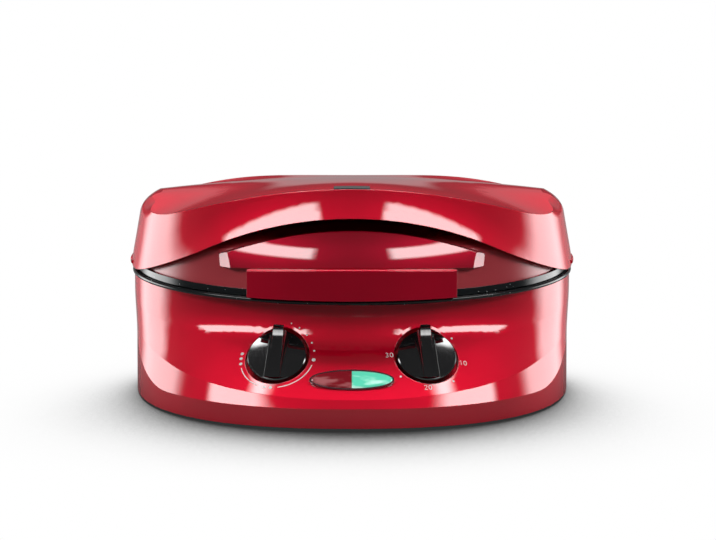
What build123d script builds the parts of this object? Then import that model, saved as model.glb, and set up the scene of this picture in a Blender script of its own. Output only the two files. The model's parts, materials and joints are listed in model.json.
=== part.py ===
"""Electric pie maker: a round countertop cooker with a hinged lid.

Millimetres, +Z up, the console faces -Y. The origin lies on the worktop, on the axis of the round baking pan.
Angles called "turn" are measured round that axis from the front, positive towards +X.
"""

import os
from math import acos, asin, atan, atan2, cos, degrees, radians, sin, sqrt

from build123d import *

os.makedirs("parts", exist_ok=True)

# ---- driving dimensions --------------------------------------------------------------------------

# housing
RIM_R = 180.0  # plan radius of the housing under the pan flange
FLOOR_R = 178.0  # plan radius of the side and rear wall at the plinth
CONSOLE_REACH = 212.0  # front of the plinth from the pan axis
PLINTH_POWER = 2.35  # fullness of the plinth's plan curve, 2 is an ellipse
SHELL_WALL = 2.4
SHELL_FOOT_Z = 2.0  # lower edge of the housing above the worktop
PLINTH_TOP_Z = 18.0  # where the upright plinth meets the bright facet
FACET_TOP_Z = 24.8  # crease between facet and console panel, at the front
FACET_SLOPE = 0.51  # how far the facet leans in for each mm of height
RIM_Z = 97.0  # the pan flange rests here
PANEL_TOP_R = 163.5  # the console panel tucks this far in under the flange
RING_CORE_R = 110.0  # inner limit of the helper solids of the housing

# bottom
FOOT_H = 3.0
FOOT_R = 11.0
FOOT_PEG_R = 3.0
FOOT_PEG_L = 4.0
PLATE_T = 1.2
PLATE_GAP = 0.3
POST_R = 5.0
POST_BITE = 0.9  # how far a screw post sinks into the wall that carries it
POST_TURNS = (-160, -110, -50, 50, 110, 160)
FOOT_TURNS = (-135, -32, 32, 135)
FOOT_PLACE_R = 150.0

# fasteners
SCREW_R = 1.5
SCREW_HEAD_R = 2.8
SCREW_HEAD_H = 1.6
SCREW_GAP = 0.05
SEAT_GAP = 0.25  # under a screw head on a leaning wall

# baking pan, stone and lower heater
SHEET_T = 1.2
PAN_WALL_R = 158.5
PAN_WELL_R = 151.5
PAN_FLOOR_Z = 68.0  # underside of the pan
STONE_SEAT_Z = 84.0
STONE_R = 155.0
STONE_T = 12.0
ROLL_R = 1.9  # rolled edge of the pan flange
ROLL_PLACE_R = 179.7
HEATER_TUBE_R = 3.3
LOWER_HEATER_R = 105.0
LOWER_HEATER_Z = 76.5
HEATER_GAP_TURN = 14.0  # half the gap between the heater's two cold ends
HEATER_LEG_GAP = 0.3
CLIP_TURNS = (-100, 0, 100)
CLIP_W = 14.0
CLIP_WALL = 1.6
SHIELD_R = 138.0
SHIELD_Z = 58.0
SHIELD_LIP = 4.0
PAN_BOLT_R = 2.5
NUT_R = 4.6
NUT_H = 2.0

# controls: a knob's face lies a little proud of the panel, its body in a round pocket
KNOB_X = 60.2
KNOB_Y = -172.0
KNOB_Z = 53.6
KNOB_RISE = 44.0  # elevation of the knob axis
KNOB_TOE = 10.0  # how far the knob axis turns outward
KNOB_R = 24.0
KNOB_PROUD = 2.7
KNOB_FLOOR_GAP = 1.5
POCKET_R = 26.6
POCKET_DEPTH = 9.0
POCKET_WALL = 2.2
GRIP_W = 8.4
GRIP_FOOT_W = 17.0
GRIP_TOP = 10.4  # height of the bar over the face, at the pointer end
GRIP_TAIL = 2.4  # and at the other end
GRIP_WAIST = 3.6
GRIP_CREST_L = 4.5
KNOB_EDGE = 0.7
KNOB_DOME = 1.0
SHAFT_R = 3.0
SHAFT_FLAT = 2.2
SHAFT_HOLE_R = 4.0
RUN_GAP = 0.05
KNOB_FIT_GAP = 0.02
BRACKET_T = 1.5
BRACKET_W = 60.0
BRACKET_L = 40.0
CONTROL_SCREW_X = 11.0
CONTROL_SCREW_L = 7.5
THERMOSTAT_R = 16.0
THERMOSTAT_L = 20.0
TIMER_W = 44.0
TIMER_L = 26.0
BELL_R = 14.0
BELL_H = 8.0
SHAFT_DEEP = 12.0  # length of shaft inside the control body

# indicator window
WINDOW_Z = 38.7
WINDOW_L = 68.5
WINDOW_H = 19.8
WINDOW_RIM = 1.5
WINDOW_DEEP = 7.0
WINDOW_PROUD = 0.8
WINDOW_GAP = 0.1
LENS_PROUD = 1.7
LENS_T = 3.0
LENS_CROWN = 0.8
LAMP_R = 3.0
LAMP_L = 9.0
LAMP_X = 15.0
HOLDER_L = 56.0
HOLDER_W = 13.0
HOLDER_T = 12.0

# supply
GLAND_TURN = 160.0
GLAND_Z = 30.0
GLAND_BORE_R = 3.7
GLAND_NECK_R = 6.4
GLAND_FLANGE_R = 9.0
GLAND_FLANGE_T = 2.5
GLAND_TAIL = 10.0
GLAND_GAP = 0.3
BLOCK_W = 42.0
BLOCK_D = 20.0
BLOCK_H = 15.0
BLOCK_X = 45.0
BLOCK_Y = 120.0

# lid
LID_FOOT_Z = 101.3
LID_CURL_Z = 104.5
LID_CURL = 0.9
LID_WALL = 2.2
LID_R = 180.0  # wall radius at LID_R_Z
LID_R_Z = 119.0
LID_LEAN = 0.17
SHOULDER_Z = 146.5  # side and rear wall ends here and rounds over
SHOULDER_RISE = 8.9
SHOULDER_END = 4.6
SHOULDER_IN = 11.4
SHOULDER_SLOPE = 0.404
SHOULDER_LIFT = 50.0  # at the front the wall runs on upward as the visor
LIFT_FROM = 42.0
LIFT_TO = 78.0
LID_CORE_R = 60.0
LID_CORE_LAP = 15.0
TOP_HALF_W = 200.0
TOP_GAUGE = 150.0  # the roof's side drop is measured here
# roof sections: y, height at the middle, side drop at the gauge
ROOF = (
    (-200.0, 190.3, 35.0),
    (-175.0, 190.0, 34.0),
    (-125.0, 187.6, 31.0),
    (-87.0, 184.3, 28.0),
    (-40.0, 179.0, 19.0),
    (0.0, 174.0, 11.0),
    (60.0, 165.5, 9.0),
    (120.0, 156.5, 8.0),
    (200.0, 143.0, 8.0),
)
ROOF_FOOT_Z = 80.0
BEAD_R = 1.7
BEAD_Z = 106.7
BEAD_OUT_R = 183.6
BEAD_HALF_TURN = 96.0
VISOR_EDGE_Z = 166.9
VISOR_EDGE_R = 243.0
VISOR_STRAIGHT_X = 116.0
VISOR_CUT_Y = -20.0
LIP_FLARE = 3.4  # the visor curves outward to its lower edge
LIP_H = 24.0
LIP_LOW_Z = 115.0  # lowest place of the curve, where it has faded out
LIP_FROM = 36.0
LIP_TO = 62.0
POST_TOP_Z = 200.0

# lid bowl, skirt and upper heater
BOWL_Z = 101.2
BOWL_RIM_R = 178.0
BOWL_RIM_TOP_Z = 106.6
BOWL_MOUTH_R = 158.0
BOWL_ROOF_Z = 137.8
BOWL_ROOF_R = 149.0
BOWL_LEAN = 2.2
BOWL_BEND = 9.0
SKIRT_STEP = 2.1  # from the bowl's rim in to the skirt's foot
SKIRT_TAPER = 3.7
SKIRT_BEND_Z = 134.0
SKIRT_ROUND = 18.2  # how far the skirt's shoulder rounds in
SKIRT_ROOF_Z = 147.0
UPPER_HEATER_R = 100.0
UPPER_HEATER_Z = 126.0
UPPER_LEG_TOP_Z = 145.0
PAD_R = 138.0
PAD_T = 4.5
LID_SCREW_PLACES = ((-104.0, -60.0), (104.0, -60.0), (-104.0, 60.0), (104.0, 60.0))
LID_SCREW_BITE = 9.0

# front block and finger scoop
BLOCK_STAND = 8.0  # how far the block stands out past the bowl's rim
BLOCK_HALF_W = 85.0
BLOCK_TOP_Z = 127.0  # its top is a shallow arch, highest in the middle
BLOCK_TOP_DROP = 3.2  # and this much lower at its ends
BLOCK_WALL = 2.5
BLOCK_HOLLOW_IN = 20.0  # the hollow reaches this far in past the block's back, which is open
BLOCK_RIM_GAP = 0.8
BLOCK_SCREW_TURN = 16.0
BLOCK_SCREW_Z = 117.0
BLOCK_BOSS_R = 4.5
SCOOP_GAP = 0.2
SCOOP_STEP = 5.4  # from the block's face in to the scoop's foot
SCOOP_REACH_IN = 14.1  # from the scoop's foot in to its lip
SCOOP_BULGE = 2.6
SCOOP_TOP_Z = 155.7
SCOOP_ARC_R = 275.0
SCOOP_HALF_W = 106.0
SCOOP_TIP_Y = -138.0  # that width is taken here
SCOOP_FOOT_HALF_W = 98.0
SCOOP_FOOT_Y = -152.0  # and this one here
SCOOP_SPLAY = 0.6  # how fast the ends spread towards the back
SCOOP_NEAR_Y = -120.0
SCOOP_FAR_Y = -210.0
SCOOP_FOOT_DROP = 5.5  # how far its ends reach below its middle
SCOOP_WALL = 2.4
SCOOP_POCKET_TURN = 31.0
SCOOP_FLOOR = 2.2
SCOOP_SCREW_TURN = 33.5
SCOOP_SCREW_Z = 131.5
SCOOP_SCREW_L = 5.6
BLOCK_SCREW_L = 9.5
BLOCK_FILLET = 1.5

# badge plate
BADGE_W = 29.0
BADGE_D = 17.0
BADGE_T = 0.9
BADGE_Y = -167.0  # its front edge

# hinge
HINGE_Y = 203.0
HINGE_Z = 98.0
PIN_R = 3.0
EAR_R = 9.0
EAR_IN_X = 47.0
EAR_OUT_X = 62.0
KNUCKLE_R = 8.5
KNUCKLE_GAP = 0.5
BUSH_R = 4.6
BUSH_L = 12.0
PIN_END_GAP = 0.5
BRACKET_LOW_Z = 58.0
BRACKET_TOP_Z = 86.0
BRACKET_BACK_Y = 212.0
EAR_LOW_Z = 72.0
EAR_FRONT_Y = 194.0
ARM_LOW_Z = 108.0
ARM_TOP_Z = 142.0
ARM_BACK_Y = 189.0
ARM_FOOT_Y = 176.0
ARM_TOP_Y = 165.0
OPEN_TURN = 100.0  # the lid opens this far
STOP_GAP = 0.35
STOP_LIP_T = 3.5
HINGE_SCREW_TURNS = (-12.0, 12.0)
BASE_HINGE_SCREW_Z = (64.0, 78.0)
LID_HINGE_SCREW_Z = (116.0, 134.0)
HINGE_SCREW_L = 11.0

# ---- worked out ----------------------------------------------------------------------------------

HALF_CIRCLE_STEPS = 12
STEP_TURN = 90.0 / HALF_CIRCLE_STEPS
FRONT_TURNS = [STEP_TURN * i for i in range(-HALF_CIRCLE_STEPS, HALF_CIRCLE_STEPS + 1)]
PLATE_Z = FOOT_H
SKIRT_FOOT_R = BOWL_RIM_R - SKIRT_STEP
SKIRT_BEND_R = SKIRT_FOOT_R - SKIRT_TAPER
SKIRT_ROOF_R = SKIRT_BEND_R - SKIRT_ROUND
BLOCK_OUT_R = BOWL_RIM_R + BLOCK_STAND
BLOCK_END_TURN = degrees(asin(BLOCK_HALF_W / BLOCK_OUT_R))
BLOCK_ARC_R = (BLOCK_HALF_W**2 + BLOCK_TOP_DROP**2) / (2 * BLOCK_TOP_DROP)
SCOOP_FOOT_R = BLOCK_OUT_R - SCOOP_STEP
SCOOP_LIP_R = SCOOP_FOOT_R - SCOOP_REACH_IN
BACK_TURN = 180.0
PLATE_TOP_Z = PLATE_Z + PLATE_T
LEAN_ANGLE = degrees(atan(LID_LEAN))
BOTTOM_UP = (Align.CENTER, Align.CENTER, Align.MIN)
TOP_DOWN = (Align.CENTER, Align.CENTER, Align.MAX)


def upright_plane(turn):
    """The upright plane through the pan axis: local x runs outward, local y runs up."""
    s, c = sin(radians(turn)), cos(radians(turn))
    return Plane(origin=(0, 0, 0), x_dir=(s, -c, 0), z_dir=(-c, -s, 0))


def wall_plane(turn, radius, z, rise=0.0, inward=False):
    """A plane on an upright wall, its normal pointing outward (or inward) and up by rise degrees."""
    s, c = sin(radians(turn)), cos(radians(turn))
    level, up = cos(radians(rise)), sin(radians(rise))
    way = -1 if inward else 1
    return Plane(
        origin=(radius * s, -radius * c, z),
        x_dir=(c, s, 0),
        z_dir=(way * level * s, -way * level * c, way * up),
    )


def around(turn, radius, z):
    """The point at a turn from the front."""
    return (radius * sin(radians(turn)), -radius * cos(radians(turn)), z)


def ease(t):
    """A smooth step from 0 to 1."""
    t = max(0.0, min(1.0, t))
    return t * t * (3 - 2 * t)


def finish(piece, name):
    """Labels a finished piece and writes it."""
    solid = piece.part if isinstance(piece, BuildPart) else piece
    solid.label = name
    export_step(solid, f"parts/{name}.step")


def screw(place, length, head_r=SCREW_HEAD_R, head_h=SCREW_HEAD_H, shank_r=SCREW_R):
    """A screw whose head stands on a plane and whose shank runs down through it."""
    with Locations(place):
        Cylinder(head_r, head_h, align=BOTTOM_UP)
        Cylinder(shank_r, length, align=TOP_DOWN)


def screw_hole(place, depth, shank_r=SCREW_R):
    """The hole that a screw's shank fits, from its head's seat downward."""
    with Locations(place):
        Cylinder(shank_r + SCREW_GAP, depth, align=TOP_DOWN, mode=Mode.SUBTRACT)


# ---- housing -------------------------------------------------------------------------------------


def plinth_radius(turn):
    """Plan radius of the plinth at a turn from the front."""
    a = radians(turn)
    side, front = abs(sin(a)) / FLOOR_R, abs(cos(a)) / CONSOLE_REACH
    return (side**PLINTH_POWER + front**PLINTH_POWER) ** (-1 / PLINTH_POWER)


def housing_profile(turn):
    """Points of the housing's outer profile: plinth, facet, sloping panel, its upper bend, and the rim."""
    a = radians(turn)
    side, front = abs(sin(a)), abs(cos(a))
    rim_h = RIM_Z - FACET_TOP_Z
    low_z = PLINTH_TOP_Z + 0.443 * rim_h * ease((abs(turn) - 50) / 40)
    facet_z = FACET_TOP_Z + rim_h * (0.312 * side**2 + 0.097 * side**8)
    foot_r = plinth_radius(turn)
    facet_r = foot_r - FACET_SLOPE * front * (facet_z - low_z) + 0.2 * (RIM_R - FLOOR_R) * side**8
    rim_r = 1 / sqrt((side / RIM_R) ** 2 + (front / PANEL_TOP_R) ** 2)
    tuck, rise = facet_r - rim_r, RIM_Z - facet_z
    bend_low = (rim_r + 0.234 * tuck, facet_z + 0.477 * rise)
    bend_mid = (rim_r, facet_z + 0.6227 * rise)
    bend_top = (rim_r, facet_z + 0.83 * rise)
    return (foot_r, low_z), (facet_r, facet_z), bend_low, bend_mid, bend_top


def housing_outline(turn, inset, low_z, top_z):
    """Draws the profile, moved inward by inset and closed at the ring core."""
    low, facet, bend_low, bend_mid, bend_top = [(r - inset, z) for r, z in housing_profile(turn)]
    Polyline((RING_CORE_R, low_z), (low[0], low_z), low, facet, bend_low)
    Bezier(bend_low, bend_mid, bend_top)
    Polyline(bend_top, (bend_top[0], top_z), (RING_CORE_R, top_z), (RING_CORE_R, low_z))


def housing_solid(inset, low_z, top_z):
    """The housing as a filled ring: lofted round the front, revolved round the back."""
    with BuildPart() as front:
        for turn in FRONT_TURNS:
            with BuildSketch(upright_plane(turn)):
                with BuildLine():
                    housing_outline(turn, inset, low_z, top_z)
                make_face()
        loft()
    with BuildPart() as back:
        with BuildSketch(upright_plane(90)):
            with BuildLine():
                housing_outline(90, inset, low_z, top_z)
            make_face()
        revolve(axis=Axis.Z, revolution_arc=180)
    return front.part + back.part


def plan_outline(inset):
    """The plinth's plan curve, moved inward by inset."""
    front = []
    for turn in FRONT_TURNS:
        r = plinth_radius(turn) - inset
        front.append((r * sin(radians(turn)), -r * cos(radians(turn))))
    Spline(*front, tangents=((0, -1), (0, 1)))
    ThreePointArc(front[-1], (0, FLOOR_R - inset), front[0])


def knob_plane(side, lift=0.0):
    """Where a knob sits: origin on the panel, normal along the knob's axis, moved outward by lift."""
    toe, rise = radians(KNOB_TOE), radians(KNOB_RISE)
    normal = Vector(side * sin(toe) * cos(rise), -cos(toe) * cos(rise), sin(rise))
    across = Vector(cos(toe), side * sin(toe), 0)
    return Plane(origin=Vector(side * KNOB_X, KNOB_Y, KNOB_Z) + normal * lift, x_dir=across, z_dir=normal)


def window_plane(lift=0.0):
    """The middle of the indicator window on the console panel."""
    low, facet, bend_low, _, _ = housing_profile(0)
    run, rise = facet[0] - bend_low[0], bend_low[1] - facet[1]
    r = facet[0] - run * (WINDOW_Z - facet[1]) / rise
    normal = Vector(0, -rise, run).normalized()
    return Plane(origin=Vector(0, -r, WINDOW_Z) + normal * lift, x_dir=(1, 0, 0), z_dir=normal)


def window_outline(inset):
    """Draws a long ellipse, moved inward by inset."""
    for start in (0, 180):
        EllipticalCenterArc((0, 0), WINDOW_L / 2 - inset, WINDOW_H / 2 - inset, start, arc_size=180)


def post_radius(turn):
    """Where a bottom screw's post stands."""
    wall = plinth_radius(turn) if abs(turn) < 90 else FLOOR_R
    return wall - SHELL_WALL - POST_R + POST_BITE


def bottom_screw_plane(turn):
    return Plane(origin=around(turn, post_radius(turn), PLATE_Z), z_dir=(0, 0, -1))


def rear_wall_r(z):
    """Outer radius of the housing's rear wall."""
    points = housing_profile(90)
    for (r0, z0), (r1, z1) in zip(points, points[1:]):
        if z0 <= z <= z1:
            return r0 + (r1 - r0) * (z - z0) / (z1 - z0)
    return points[-1][0]


def base_hinge_screw_plane(turn, z):
    return wall_plane(BACK_TURN + turn, rear_wall_r(z) - SHELL_WALL - SEAT_GAP, z, inward=True)


def lid_hinge_screw_plane(turn, z):
    return wall_plane(BACK_TURN + turn, lid_wall_r(z) - LID_WALL - RUN_GAP, z, LEAN_ANGLE, inward=True)


def lid_wall_r(z):
    """The lid wall leans in towards its top."""
    return LID_R - LID_LEAN * (z - LID_R_Z)


BOTTOM_SCREW_L = PLINTH_TOP_Z - PLATE_Z - 3.0
CUP_BACK = -(POCKET_DEPTH + POCKET_WALL)
housing_outer = housing_solid(0, SHELL_FOOT_Z, RIM_Z)
housing_inner = housing_solid(SHELL_WALL, SHELL_FOOT_Z - 1, RIM_Z + 1)

with BuildPart() as knob_cups:
    for side in (-1, 1):
        with Locations(knob_plane(side, CUP_BACK)):
            Cylinder(POCKET_R + POCKET_WALL, POCKET_DEPTH * 3, align=BOTTOM_UP)
    add(housing_outer, mode=Mode.INTERSECT)

with BuildPart() as base_shell:
    add(housing_outer)
    add(housing_inner, mode=Mode.SUBTRACT)
    add(knob_cups.part)
    for turn in POST_TURNS:
        with Locations(around(turn, post_radius(turn), PLATE_TOP_Z)):
            Cylinder(POST_R, PLINTH_TOP_Z - PLATE_TOP_Z, align=BOTTOM_UP)
    for turn in POST_TURNS:
        screw_hole(bottom_screw_plane(turn), BOTTOM_SCREW_L + 1)
    for side in (-1, 1):
        with Locations(knob_plane(side, -POCKET_DEPTH)):
            Cylinder(POCKET_R, POCKET_DEPTH * 3, align=BOTTOM_UP, mode=Mode.SUBTRACT)
            Cylinder(SHAFT_HOLE_R, POCKET_WALL * 3, mode=Mode.SUBTRACT)
            for x in (-CONTROL_SCREW_X, CONTROL_SCREW_X):
                with Locations((x, 0, 0)):
                    Cylinder(SCREW_R + SCREW_GAP, POCKET_WALL * 3, mode=Mode.SUBTRACT)
    with BuildSketch(window_plane()):
        with BuildLine():
            window_outline(-WINDOW_GAP)
        make_face()
    extrude(amount=WINDOW_DEEP * 2, both=True, mode=Mode.SUBTRACT)
    with Locations(wall_plane(GLAND_TURN, FLOOR_R - SHELL_WALL / 2, GLAND_Z)):
        Cylinder(GLAND_NECK_R + RUN_GAP, SHELL_WALL * 3, mode=Mode.SUBTRACT)
    for turn in HINGE_SCREW_TURNS:
        for z in BASE_HINGE_SCREW_Z:
            screw_hole(base_hinge_screw_plane(turn, z), SHELL_WALL * 3)
finish(base_shell, "base_shell")

with BuildPart() as bottom_plate:
    with BuildSketch(Plane.XY.offset(PLATE_Z)):
        with BuildLine():
            plan_outline(SHELL_WALL + PLATE_GAP)
        make_face()
        with GridLocations(0, 14, 1, 9):
            SlotOverall(110, 5, mode=Mode.SUBTRACT)
    extrude(amount=PLATE_T)
    for turn in POST_TURNS:
        screw_hole(bottom_screw_plane(turn), PLATE_T)
    with Locations(*[around(t, FOOT_PLACE_R, PLATE_Z) for t in FOOT_TURNS]):
        Cylinder(FOOT_PEG_R + RUN_GAP, PLATE_T, align=BOTTOM_UP, mode=Mode.SUBTRACT)
    with Locations((0, 0, PLATE_Z)):
        Cylinder(PAN_BOLT_R + RUN_GAP, PLATE_T * 2, mode=Mode.SUBTRACT)
finish(bottom_plate, "bottom_plate")

with BuildPart() as feet:
    with Locations(*[around(t, FOOT_PLACE_R, 0) for t in FOOT_TURNS]):
        Cone(FOOT_R - 1, FOOT_R, FOOT_H, align=BOTTOM_UP)
        Cylinder(FOOT_PEG_R, FOOT_H + FOOT_PEG_L, align=BOTTOM_UP)
finish(feet, "feet")

with BuildPart() as bottom_screws:
    for turn in POST_TURNS:
        screw(bottom_screw_plane(turn), BOTTOM_SCREW_L)
finish(bottom_screws, "bottom_screws")

# ---- baking pan, stone and lower heater ----------------------------------------------------------


def leg_places(radius, z):
    """Where a heater's two cold ends pass a sheet."""
    return [around(turn, radius, z) for turn in (180 - HEATER_GAP_TURN, HEATER_GAP_TURN - 180)]


def heater(radius, z, leg_to_z):
    """A tube bent into a ring, open at the back, its two cold ends running up or down to leg_to_z."""
    end_turn = 180 - HEATER_GAP_TURN
    with BuildPart() as tube:
        with BuildSketch(upright_plane(-end_turn)):
            with Locations((radius, z)):
                Circle(HEATER_TUBE_R)
        revolve(axis=Axis.Z, revolution_arc=2 * end_turn)
        with Locations(*leg_places(radius, z)):
            Sphere(HEATER_TUBE_R)
        with Locations(*leg_places(radius, (z + leg_to_z) / 2)):
            Cylinder(HEATER_TUBE_R, abs(leg_to_z - z))
    return tube.part


def heater_clips(radius, tube_z, low_z, top_z):
    """Saddles that hold a heater's tube to a sheet."""
    with BuildPart() as groove:
        with BuildSketch(upright_plane(0)):
            with Locations((radius, tube_z)):
                Circle(HEATER_TUBE_R + RUN_GAP)
        revolve(axis=Axis.Z)
    with BuildPart() as clips:
        for turn in CLIP_TURNS:
            with Locations(Location(around(turn, radius, low_z), (0, 0, turn))):
                Box(CLIP_W, 2 * (HEATER_TUBE_R + CLIP_WALL), top_z - low_z, align=BOTTOM_UP)
        add(groove.part, mode=Mode.SUBTRACT)
    return clips.part


with BuildPart() as base_pan:
    inner_r, inner_well_r = PAN_WALL_R - SHEET_T, PAN_WELL_R - SHEET_T
    floor_top, seat_low = PAN_FLOOR_Z + SHEET_T, STONE_SEAT_Z - SHEET_T
    with BuildSketch(Plane.XZ):
        with BuildLine():
            Polyline(
                (0, PAN_FLOOR_Z), (PAN_WELL_R - 3, PAN_FLOOR_Z), (PAN_WELL_R, PAN_FLOOR_Z + 3),
                (PAN_WELL_R, seat_low), (PAN_WALL_R, seat_low), (PAN_WALL_R, RIM_Z),
                (ROLL_PLACE_R, RIM_Z), (ROLL_PLACE_R, RIM_Z + SHEET_T),
                (inner_r, RIM_Z + SHEET_T), (inner_r, STONE_SEAT_Z), (inner_well_r, STONE_SEAT_Z),
                (inner_well_r, floor_top + 2.5), (inner_well_r - 2.5, floor_top),
                (0, floor_top), (0, PAN_FLOOR_Z),
            )
        make_face()
        with Locations((ROLL_PLACE_R, RIM_Z + ROLL_R)):
            Circle(ROLL_R)
    revolve(axis=Axis.Z)
    with Locations(*leg_places(LOWER_HEATER_R, PAN_FLOOR_Z)):
        Cylinder(HEATER_TUBE_R + HEATER_LEG_GAP, SHEET_T * 4, mode=Mode.SUBTRACT)
finish(base_pan, "base_pan")

with BuildPart() as baking_stone:
    with Locations((0, 0, STONE_SEAT_Z)):
        Cylinder(STONE_R, STONE_T, align=BOTTOM_UP)
    chamfer(baking_stone.edges().group_by(Axis.Z)[-1], 1.0)
finish(baking_stone, "baking_stone")

finish(heater(LOWER_HEATER_R, LOWER_HEATER_Z, SHIELD_Z + SHIELD_LIP), "lower_heater")
clip_top_z = LOWER_HEATER_Z + HEATER_TUBE_R + CLIP_WALL
finish(heater_clips(LOWER_HEATER_R, LOWER_HEATER_Z, floor_top, clip_top_z), "lower_heater_clips")

with BuildPart() as heat_shield:
    with Locations((0, 0, SHIELD_Z)):
        Cylinder(SHIELD_R, SHIELD_LIP, align=BOTTOM_UP)
    with Locations((0, 0, SHIELD_Z + SHEET_T)):
        Cylinder(SHIELD_R - SHEET_T, SHIELD_LIP, align=BOTTOM_UP, mode=Mode.SUBTRACT)
    with Locations((0, 0, SHIELD_Z)):
        Cylinder(PAN_BOLT_R + RUN_GAP, SHEET_T * 3, mode=Mode.SUBTRACT)
finish(heat_shield, "heat_shield")

with BuildPart() as pan_bolt:
    with Locations((0, 0, PLATE_Z - NUT_H)):
        Cylinder(PAN_BOLT_R, PAN_FLOOR_Z - PLATE_Z + NUT_H, align=BOTTOM_UP)
    with Locations((0, 0, SHIELD_Z + SHEET_T)):
        Cylinder(NUT_R, PAN_FLOOR_Z - SHIELD_Z - SHEET_T, align=BOTTOM_UP)
finish(pan_bolt, "pan_bolt")

with BuildPart() as pan_nuts:
    with BuildSketch(Plane.XY.offset(PLATE_Z - NUT_H), Plane.XY.offset(SHIELD_Z - NUT_H)):
        RegularPolygon(NUT_R, 6)
        Circle(PAN_BOLT_R + RUN_GAP, mode=Mode.SUBTRACT)
    extrude(amount=NUT_H)
finish(pan_nuts, "pan_nuts")

with BuildPart() as thermal_fuse:
    with Locations((60, 60, PAN_FLOOR_Z)):
        Box(16, 8, 3.2, align=TOP_DOWN)
    with Locations(Location((60, 60, PAN_FLOOR_Z - 3.2), (0, 90, 0))):
        Cylinder(2.6, 24)
finish(thermal_fuse, "thermal_fuse")

# ---- controls ------------------------------------------------------------------------------------


def shaft_section(gap):
    """A round shaft with one flat."""
    Circle(SHAFT_R + gap)
    with Locations((0, SHAFT_FLAT + gap)):
        Rectangle(4 * SHAFT_R, 2 * SHAFT_R, align=(Align.CENTER, Align.MIN), mode=Mode.SUBTRACT)


BODY_TOP = CUP_BACK - BRACKET_T
SHAFT_LOW = BODY_TOP - SHAFT_DEEP
SHAFT_HIGH = KNOB_PROUD - 3.5
KNOB_LOW = KNOB_FLOOR_GAP - POCKET_DEPTH


with BuildPart() as control_brackets:
    with BuildSketch(*[knob_plane(side, CUP_BACK) for side in (-1, 1)]):
        RectangleRounded(BRACKET_W, BRACKET_L, 4)
        Circle(SHAFT_HOLE_R, mode=Mode.SUBTRACT)
        with Locations((-CONTROL_SCREW_X, 0), (CONTROL_SCREW_X, 0)):
            Circle(SCREW_R + SCREW_GAP, mode=Mode.SUBTRACT)
    extrude(amount=-BRACKET_T)
finish(control_brackets, "control_brackets")

with BuildPart() as control_screws:
    for side in (-1, 1):
        for x in (-CONTROL_SCREW_X, CONTROL_SCREW_X):
            with Locations(knob_plane(side, -POCKET_DEPTH)):
                with Locations((x, 0, 0)):
                    Cylinder(SCREW_HEAD_R, KNOB_FLOOR_GAP * 0.7, align=BOTTOM_UP)
                    Cylinder(SCREW_R, CONTROL_SCREW_L, align=TOP_DOWN)
finish(control_screws, "control_screws")


def body_bores():
    """The shaft and screw bores in the front of a control body, drawn on the body's front plane."""
    Circle(SHAFT_R + RUN_GAP)
    with Locations((-CONTROL_SCREW_X, 0), (CONTROL_SCREW_X, 0)):
        Circle(SCREW_R + SCREW_GAP)


with BuildPart() as thermostat_body:
    with BuildSketch(knob_plane(-1, BODY_TOP)):
        Circle(THERMOSTAT_R)
    extrude(amount=-THERMOSTAT_L)
    with BuildSketch(knob_plane(-1, BODY_TOP)):
        body_bores()
    extrude(amount=-SHAFT_DEEP - RUN_GAP, mode=Mode.SUBTRACT)
    with BuildSketch(knob_plane(-1, BODY_TOP - THERMOSTAT_L)):
        with Locations((-8, 0), (8, 0)):
            Rectangle(1, 6.3)
    extrude(amount=-8)
finish(thermostat_body, "thermostat_body")

with BuildPart() as timer_body:
    with BuildSketch(knob_plane(1, BODY_TOP)):
        RectangleRounded(TIMER_W, TIMER_W, 5)
    extrude(amount=-TIMER_L)
    with BuildSketch(knob_plane(1, BODY_TOP)):
        body_bores()
    extrude(amount=-SHAFT_DEEP - RUN_GAP, mode=Mode.SUBTRACT)
finish(timer_body, "timer_body")

with BuildPart() as timer_bell:
    with BuildSketch(knob_plane(1, BODY_TOP - TIMER_L)):
        Circle(2.5)
    extrude(amount=-BELL_H)
    with BuildSketch(knob_plane(1, BODY_TOP - TIMER_L - BELL_H)):
        Circle(BELL_R)
    extrude(amount=BELL_H * 0.8)
    with BuildSketch(knob_plane(1, BODY_TOP - TIMER_L - BELL_H + SHEET_T)):
        Circle(BELL_R - SHEET_T)
        Circle(2.5, mode=Mode.SUBTRACT)
    extrude(amount=BELL_H, mode=Mode.SUBTRACT)
finish(timer_bell, "timer_bell")

def grip_section():
    """Draws the section of a knob's bar: upright sides that flare out where they meet the face."""
    half, foot = GRIP_W / 2, GRIP_FOOT_W / 2
    flare = foot - half
    foot_z = KNOB_DOME * 0.9
    bend = flare * (1 - sin(radians(45)))
    top = GRIP_TOP + 1
    Polyline((-half, foot_z + flare), (-half, top), (half, top), (half, foot_z + flare))
    ThreePointArc((half, foot_z + flare), (half + bend, foot_z + bend), (foot, foot_z))
    Polyline((foot, foot_z), (foot, -KNOB_EDGE), (-foot, -KNOB_EDGE), (-foot, foot_z))
    ThreePointArc((-foot, foot_z), (-half - bend, foot_z + bend), (-half, foot_z + flare))


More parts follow.
